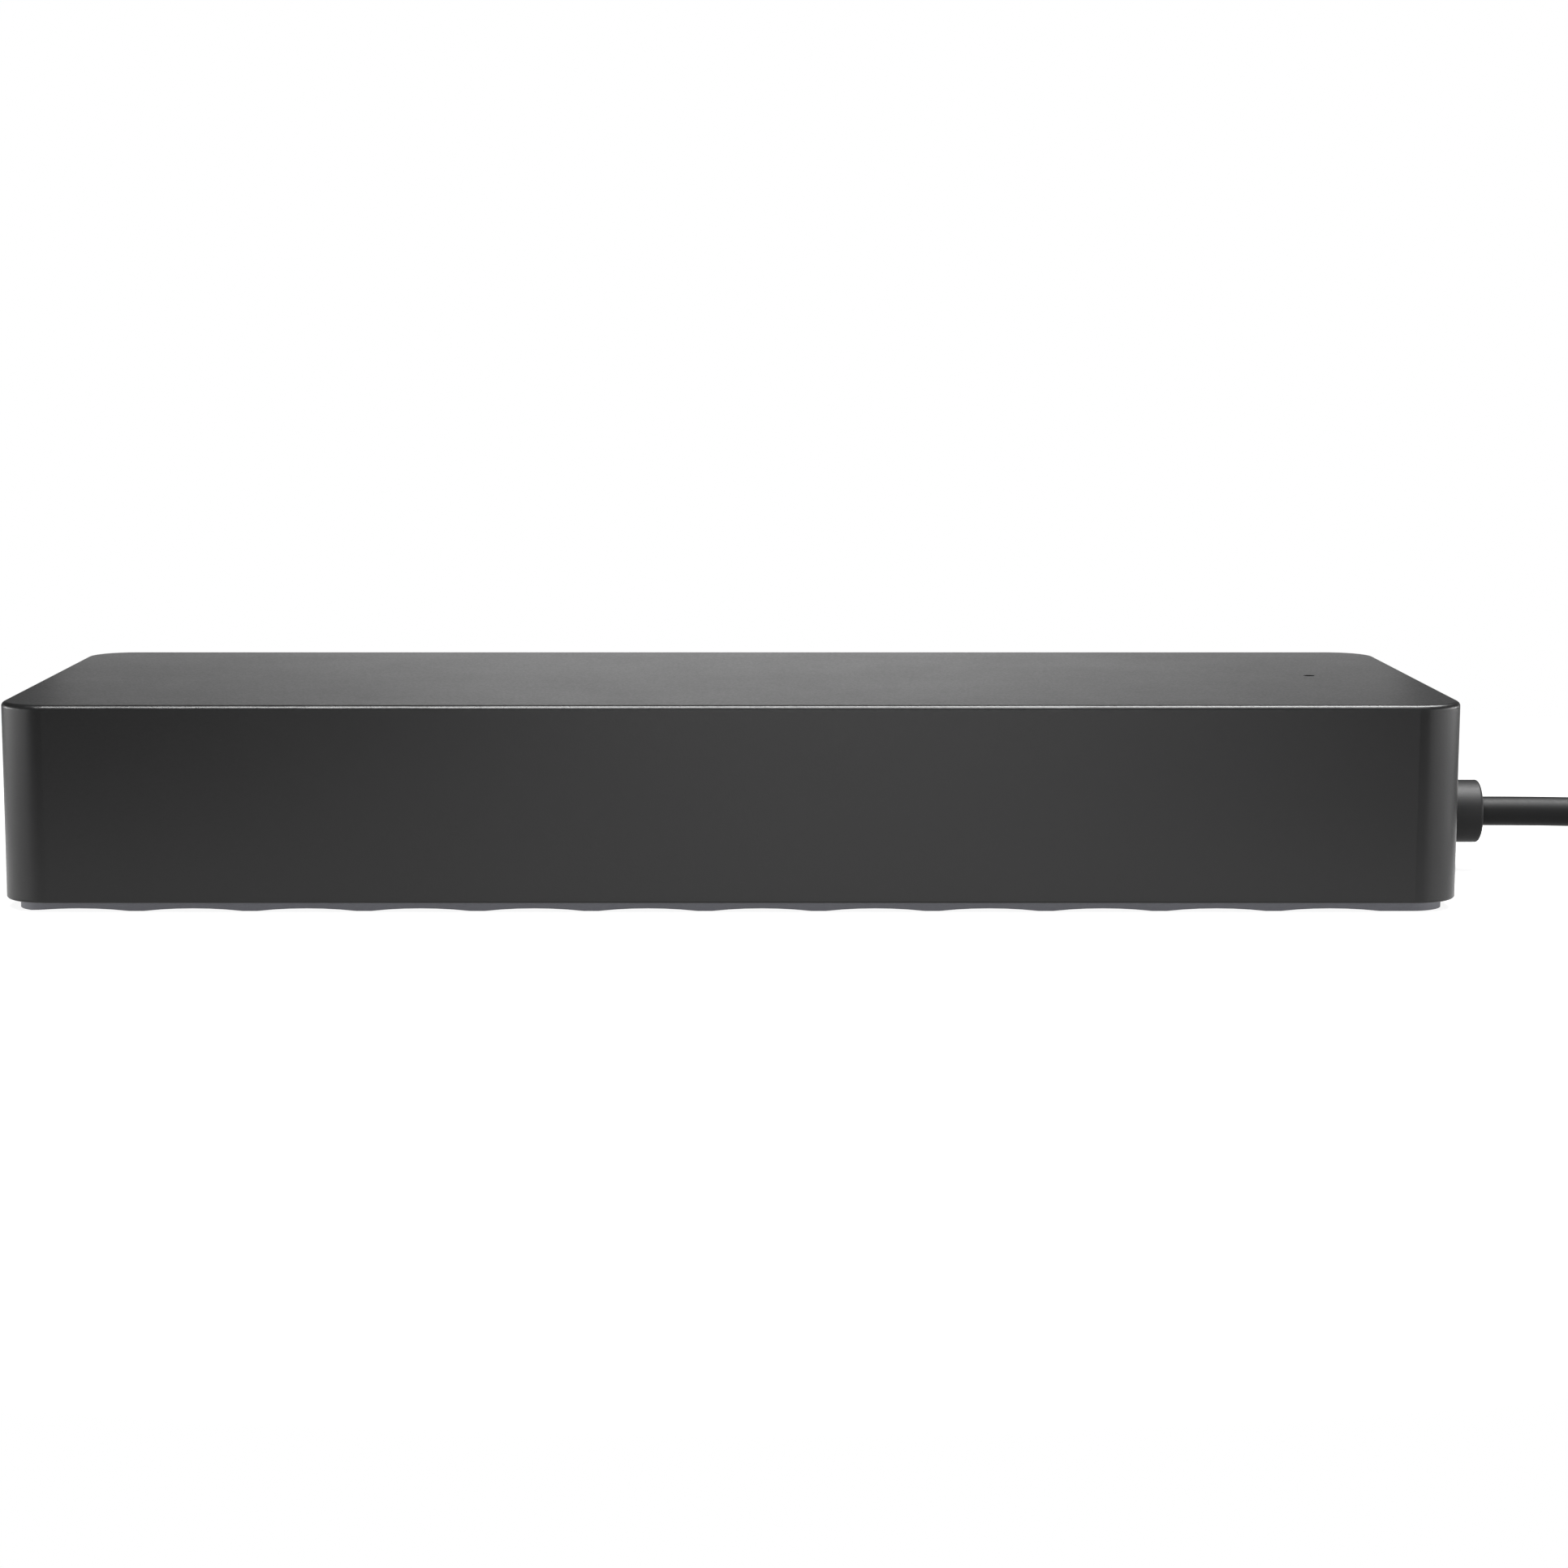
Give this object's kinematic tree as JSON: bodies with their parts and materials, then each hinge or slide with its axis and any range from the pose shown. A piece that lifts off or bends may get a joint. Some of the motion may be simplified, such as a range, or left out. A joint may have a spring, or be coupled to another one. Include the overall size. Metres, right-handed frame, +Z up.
{
  "type": "laptop docking station",
  "caption": "Long, low rounded-box docking station on a rubber foot, with ports on its back and left end and a captive round host lead that ends in a small oval plug.",
  "frame": {"origin": "on the table under the middle of the case", "axes": "+X to the right end with the host lead, seen from the plain front; the front faces -Y; +Z up"},
  "size_m": [0.2747, 0.0619, 0.0214],
  "materials": {
    "case_plastic": "satin dark grey moulding",
    "foot_rubber": "matt blue-grey rubber",
    "screw_steel": "plated",
    "board_laminate": "green solder mask",
    "chip_plastic": "matt moulding",
    "ceramic": "fired ceramic",
    "bright_metal": "tin plated",
    "pad_silicone": "soft silicone",
    "spreader_aluminium": "mill finish",
    "lamp_resin": "diffusing resin",
    "collar_plastic": "satin elastomer",
    "cable_jacket": "smooth jacket",
    "clamp_plastic": "moulded",
    "wire_insulation": "coloured insulation",
    "tie_fabric": "woven strap",
    "port_steel": "nickel plated",
    "port_plastic": "moulded",
    "contact_gold": "gold flashed"
  },
  "bodies": {
    "root": {"back_type_a_1_contacts": "contact_gold", "back_type_a_1_shell": "port_steel", "back_type_a_1_tongue": "port_plastic", "back_type_a_2_contacts": "contact_gold", "back_type_a_2_shell": "port_steel", "back_type_a_2_tongue": "port_plastic", "base_cover": "case_plastic", "base_screws": "screw_steel", "board_screws": "screw_steel", "cable_clamp": "clamp_plastic", "cable_inner_end": "cable_jacket", "cable_strain_relief": "collar_plastic", "cable_tie": "tie_fabric", "cable_wires": "wire_insulation", "ceramic_capacitors": "ceramic", "clamp_screws": "screw_steel", "crystals": "bright_metal", "display_chip": "chip_plastic", "heat_spreader": "spreader_aluminium", "host_cable_coil": "cable_jacket", "host_cable_lead": "cable_jacket", "host_cable_tail": "cable_jacket", "hub_chip": "chip_plastic", "indicator_led": "lamp_resin", "keyed_video_port_contacts": "contact_gold", "keyed_video_port_shell": "port_steel", "keyed_video_port_tongue": "port_plastic", "left_type_a_contacts": "contact_gold", "left_type_a_shell": "port_steel", "left_type_a_tongue": "port_plastic", "left_type_c_contacts": "contact_gold", "left_type_c_shell": "port_steel", "left_type_c_tongue": "port_plastic", "light_pipe": "lamp_resin", "magnetics_module": "chip_plastic", "main_board": "board_laminate", "network_chip": "chip_plastic", "network_jack_contacts": "contact_gold", "network_jack_insert": "port_plastic", "network_jack_shell": "port_steel", "plug_contacts": "contact_gold", "plug_housing": "collar_plastic", "plug_insert": "port_plastic", "plug_relief": "collar_plastic", "plug_shell": "port_steel", "polymer_capacitors": "bright_metal", "power_chip": "chip_plastic", "power_inductors": "chip_plastic", "power_type_c_contacts": "contact_gold", "power_type_c_shell": "port_steel", "power_type_c_tongue": "port_plastic", "rubber_foot": "foot_rubber", "shield_can": "bright_metal", "thermal_pad": "pad_silicone", "top_shell": "case_plastic", "wide_video_port_contacts": "contact_gold", "wide_video_port_shell": "port_steel", "wide_video_port_tongue": "port_plastic"}
  },
  "joints": []
}
